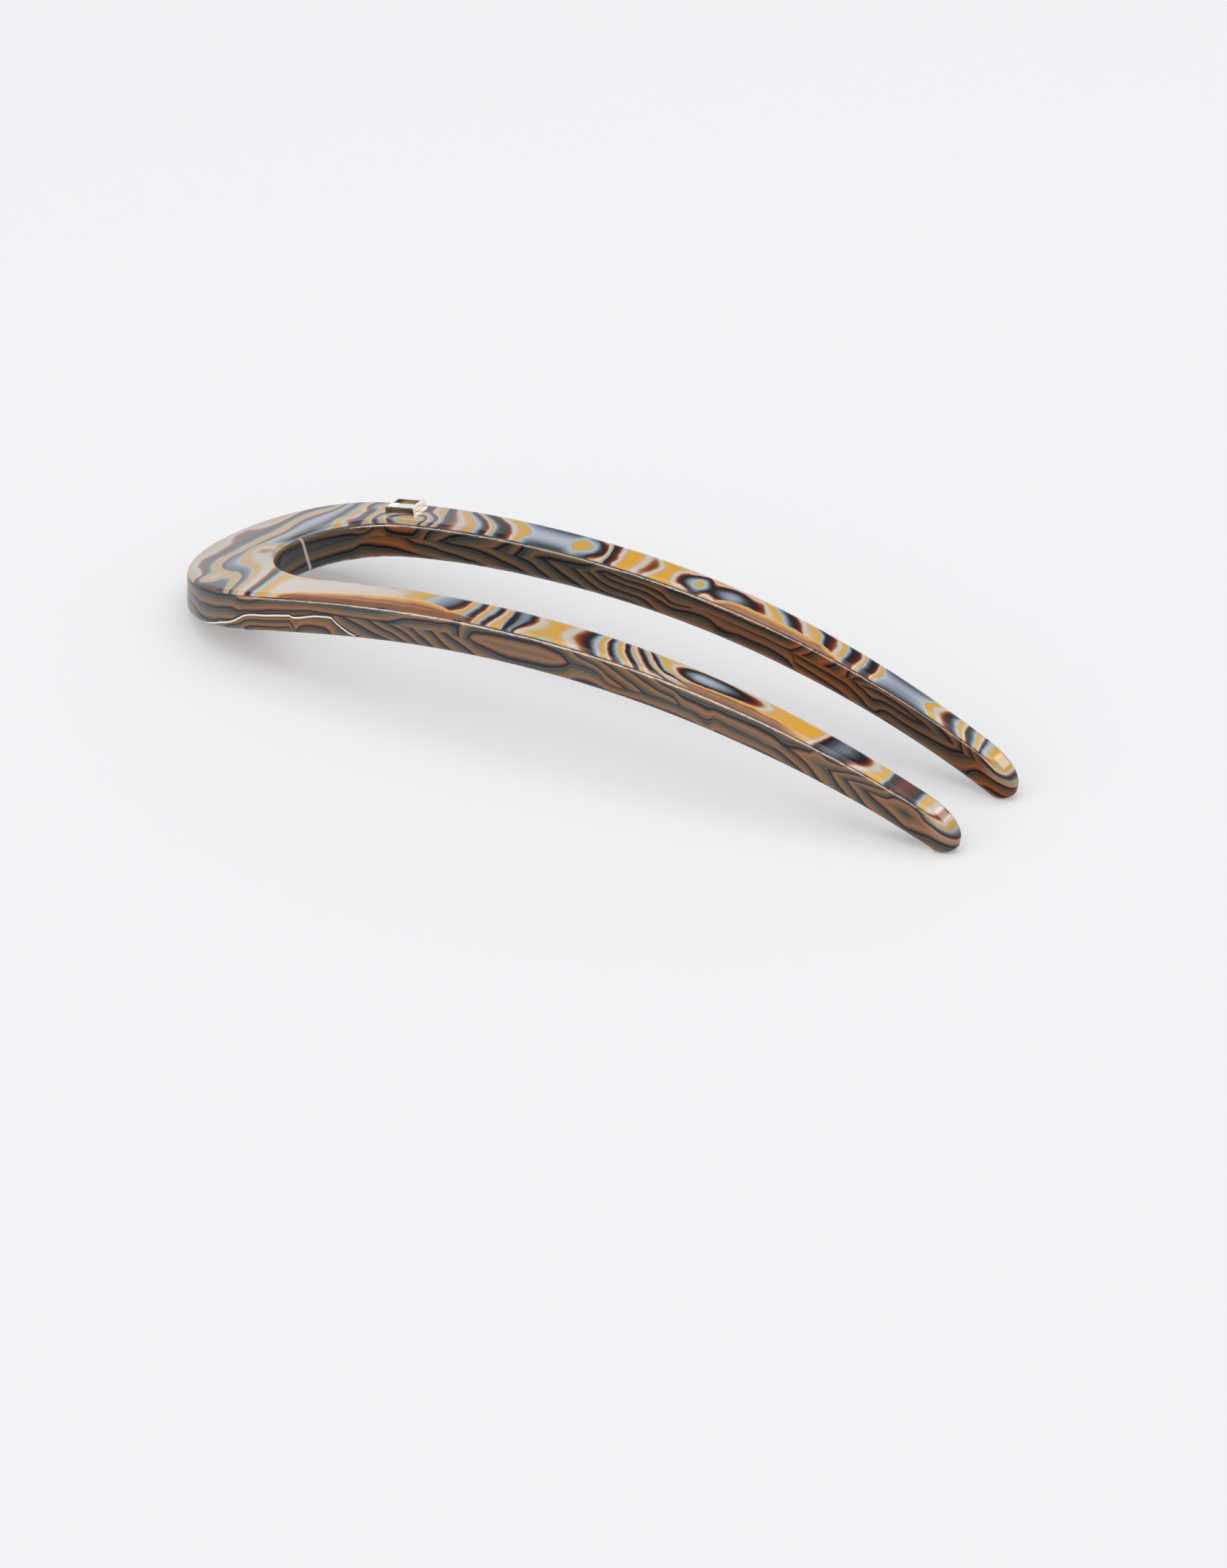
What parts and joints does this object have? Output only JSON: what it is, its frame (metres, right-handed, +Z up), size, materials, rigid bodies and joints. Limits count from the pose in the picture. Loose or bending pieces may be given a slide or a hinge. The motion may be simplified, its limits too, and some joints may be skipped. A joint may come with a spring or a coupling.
{
  "type": "hair fork",
  "caption": "Arched U-shaped hair fork sawn from thick marbled acetate sheet, with rounded tips and a small blank metal plaque near the head.",
  "frame": {"origin": "on the surface the fork rests on, under the middle of its overall length and width", "axes": "+X along the fork from the head to the tips, +Y towards the leg with the plaque, +Z up, out of the arch"},
  "size_m": [0.1312, 0.0332, 0.0181],
  "materials": {
    "acetate": "polished",
    "plaque": "polished"
  },
  "bodies": {
    "root": {"acetate_fork": "acetate", "metal_plaque": "plaque"}
  },
  "joints": []
}
